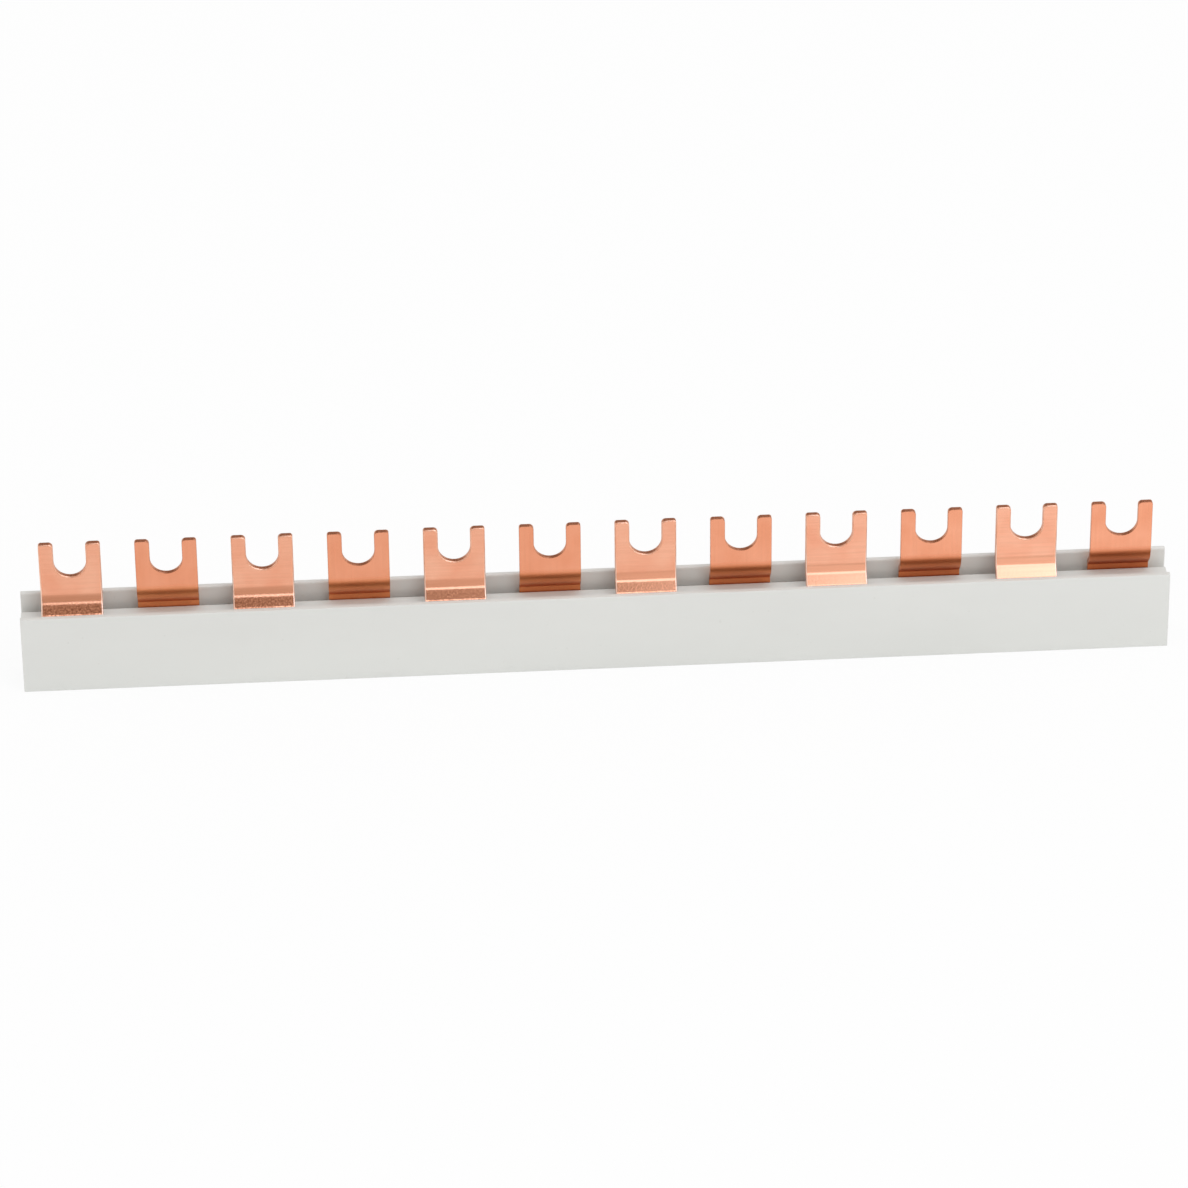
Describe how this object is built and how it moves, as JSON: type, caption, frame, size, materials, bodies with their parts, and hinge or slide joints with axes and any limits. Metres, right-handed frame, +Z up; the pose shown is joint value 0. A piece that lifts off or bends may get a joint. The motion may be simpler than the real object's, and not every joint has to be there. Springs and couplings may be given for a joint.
{
  "type": "comb busbar",
  "caption": "Long open plastic channel with two staggered copper combs; their open-ended forks stand in one row for linking circuit breakers side by side.",
  "frame": {"origin": "centre of the housing's underside", "axes": "+X along the busbar, to the right when the lower wall is in front; -Y towards that front wall; +Z up, the way the forks point"},
  "size_m": [0.2144, 0.0088, 0.0295],
  "materials": {
    "housing": "satin",
    "front_comb": "satin",
    "rear_comb": "satin"
  },
  "bodies": {
    "root": {"housing": "housing", "front_comb": "front_comb", "rear_comb": "rear_comb"}
  },
  "joints": []
}
